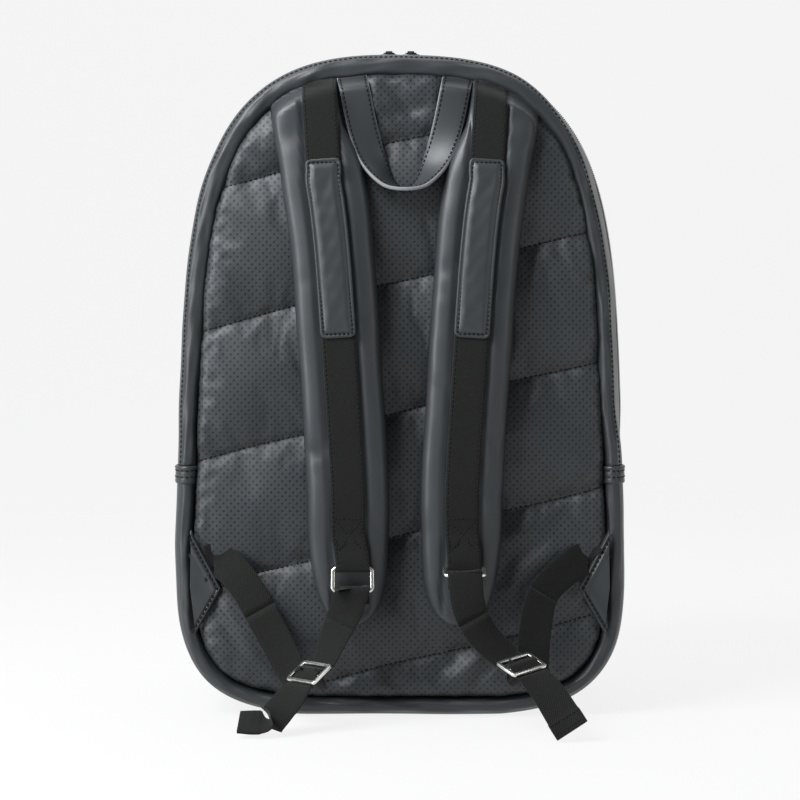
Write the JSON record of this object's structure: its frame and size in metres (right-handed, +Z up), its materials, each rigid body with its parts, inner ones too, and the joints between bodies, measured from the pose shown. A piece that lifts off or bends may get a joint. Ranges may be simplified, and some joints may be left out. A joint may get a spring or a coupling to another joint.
{
  "type": "racket backpack",
  "caption": "Arched leather-look backpack with a quilted perforated back panel, two padded shoulder straps on metal rings, a grab handle and a front flap that unzips.",
  "frame": {"origin": "middle of the flat base, on the floor that the bag stands on", "axes": "+Z up to the top of the bag, -Y out of the wearer's side, +X to the right of someone looking at that side"},
  "size_m": [0.3438, 0.3132, 0.5093],
  "materials": {
    "perforated_leather": "perforated black faux leather, fine grain, semi-matt",
    "smooth_leather": "smooth black faux leather, soft sheen",
    "webbing": "black woven webbing, twill face",
    "zip_tape": "black woven zip tape",
    "zip_coil": "black nylon coil",
    "strap_metal": "satin nickel plate",
    "zip_metal": "satin nickel plate",
    "lining": "grey woven lining",
    "board": "plain stiffener board"
  },
  "bodies": {
    "bag": {"rear_gusset": "smooth_leather", "boot_gusset": "smooth_leather", "side_band_left": "smooth_leather", "side_band_right": "smooth_leather", "back_panel": "perforated_leather", "back_foam_sheet": "lining", "base_board": "board", "boot_front": "smooth_leather", "laptop_sleeve": "lining", "laptop_tab": "webbing", "main_zip_tape_rear": "zip_tape", "main_zip_coil_rear": "zip_coil", "wing_left": "smooth_leather", "wing_right": "smooth_leather"},
    "front_flap": {"flap_gusset": "smooth_leather", "flap_panel": "smooth_leather", "main_zip_tape_front": "zip_tape", "main_zip_coil_front": "zip_coil", "pocket_shell": "smooth_leather", "pocket_zip_tape": "zip_tape", "pocket_zip_coil": "zip_coil"},
    "main_slider_left": {"main_left_slider": "zip_metal"},
    "main_pull_left": {"main_left_pull": "zip_metal"},
    "main_slider_right": {"main_right_slider": "zip_metal"},
    "main_pull_right": {"main_right_pull": "zip_metal"},
    "pocket_slider": {"pocket_slider": "zip_metal"},
    "pocket_pull": {"pocket_pull": "zip_metal"},
    "grab_handle": {"grab_handle": "smooth_leather"},
    "strap_left": {"pad_left": "smooth_leather", "pad_webbing_left": "webbing", "patch_left": "smooth_leather", "adjuster_webbing_left": "webbing", "anchor_webbing_left": "webbing"},
    "ring_left": {"ring_left": "strap_metal"},
    "glide_left": {"glide_left": "strap_metal", "webbing_tail_left": "webbing"},
    "strap_right": {"pad_right": "smooth_leather", "pad_webbing_right": "webbing", "patch_right": "smooth_leather", "adjuster_webbing_right": "webbing", "anchor_webbing_right": "webbing"},
    "ring_right": {"ring_right": "strap_metal"},
    "glide_right": {"glide_right": "strap_metal", "webbing_tail_right": "webbing"}
  },
  "joints": [
    {"name": "front_flap_open", "type": "hinge", "parent": "bag", "child": "front_flap", "pos_m": [0, 0.0905, 0.19], "axis": [-1, 0, 0], "range_deg": [0, 35]},
    {"name": "grab_handle_lift", "type": "hinge", "parent": "bag", "child": "grab_handle", "pos_m": [0.0037, -0.0985, 0.4755], "axis": [-1, 0, 0], "range_deg": [0, 150]},
    {"name": "main_slider_left_run", "type": "slide", "parent": "front_flap", "child": "main_slider_left", "axis": [-1, 0, 0], "range_m": [0, 0.035]},
    {"name": "main_slider_right_run", "type": "slide", "parent": "front_flap", "child": "main_slider_right", "axis": [1, 0, 0], "range_m": [0, 0.035]},
    {"name": "main_pull_left_flip", "type": "hinge", "parent": "main_slider_left", "child": "main_pull_left", "pos_m": [-0.0085, -0.02575, 0.5087], "axis": [1, 0, 0], "range_deg": [0, 150]},
    {"name": "main_pull_right_flip", "type": "hinge", "parent": "main_slider_right", "child": "main_pull_right", "pos_m": [0.0085, -0.02575, 0.5087], "axis": [1, 0, 0], "range_deg": [0, 150]},
    {"name": "pocket_slider_run", "type": "slide", "parent": "front_flap", "child": "pocket_slider", "axis": [1, 0, 0], "range_m": [0, 0.174]},
    {"name": "pocket_pull_flip", "type": "hinge", "parent": "pocket_slider", "child": "pocket_pull", "pos_m": [-0.0872, 0.1191, 0.35875], "axis": [1, 0, 0], "range_deg": [0, 120]},
    {"name": "strap_left_swing", "type": "hinge", "parent": "bag", "child": "strap_left", "pos_m": [-0.1023, -0.094, 0.474], "axis": [-0.0895, -0.0168, -0.9958], "range_deg": [0, 75]},
    {"name": "ring_left_swing", "type": "hinge", "parent": "strap_left", "child": "ring_left", "pos_m": [-0.03506, -0.12446, 0.117], "axis": [-1, 0, 0], "range_deg": [-12, 70], "deforming": ["adjuster_webbing_left"]},
    {"name": "glide_left_run", "type": "slide", "parent": "strap_left", "child": "glide_left", "axis": [0.6085, 0.5806, 0.541], "range_m": [0, 0.025], "deforming": ["anchor_webbing_left", "adjuster_webbing_left"]},
    {"name": "strap_right_swing", "type": "hinge", "parent": "bag", "child": "strap_right", "pos_m": [0.1097, -0.094, 0.474], "axis": [-0.0895, 0.0168, 0.9958], "range_deg": [0, 75]},
    {"name": "ring_right_swing", "type": "hinge", "parent": "strap_right", "child": "ring_right", "pos_m": [0.04746, -0.12446, 0.117], "axis": [-1, 0, 0], "range_deg": [-75, 10], "deforming": ["adjuster_webbing_right"]},
    {"name": "glide_right_run", "type": "slide", "parent": "strap_right", "child": "glide_right", "axis": [-0.5872, 0.7438, 0.3194], "range_m": [0, 0.025], "deforming": ["anchor_webbing_right", "adjuster_webbing_right"]}
  ]
}
